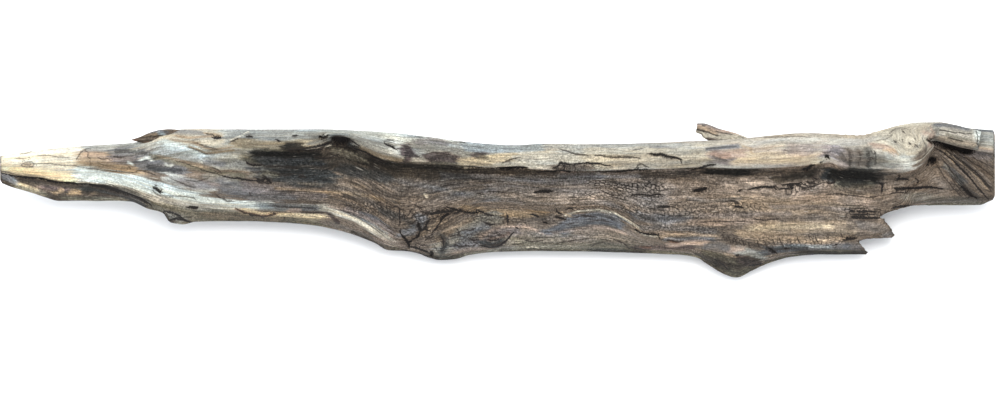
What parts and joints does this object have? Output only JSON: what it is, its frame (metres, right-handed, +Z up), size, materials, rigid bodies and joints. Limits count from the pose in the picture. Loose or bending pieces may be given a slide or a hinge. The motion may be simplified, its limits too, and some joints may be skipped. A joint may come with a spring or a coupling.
{
  "type": "piece of driftwood",
  "caption": "Long weathered driftwood log, hollowed along its face under a rounded ridge, with a torn lower end, a tapered tip and short branch stubs.",
  "frame": {"origin": "middle of the footprint, on the surface that the piece lies on", "axes": "+X along the piece from the tapered tip to the broken branch end, +Y from the torn lip towards the ridge's back, +Z up, with the hollow face looking up and a little towards -Y"},
  "size_m": [0.995, 0.147, 0.0939],
  "materials": {
    "weathered_wood": "bare, dry and sun-bleached, with darker rotted hollows"
  },
  "bodies": {
    "root": {"driftwood": "weathered_wood"}
  },
  "joints": []
}
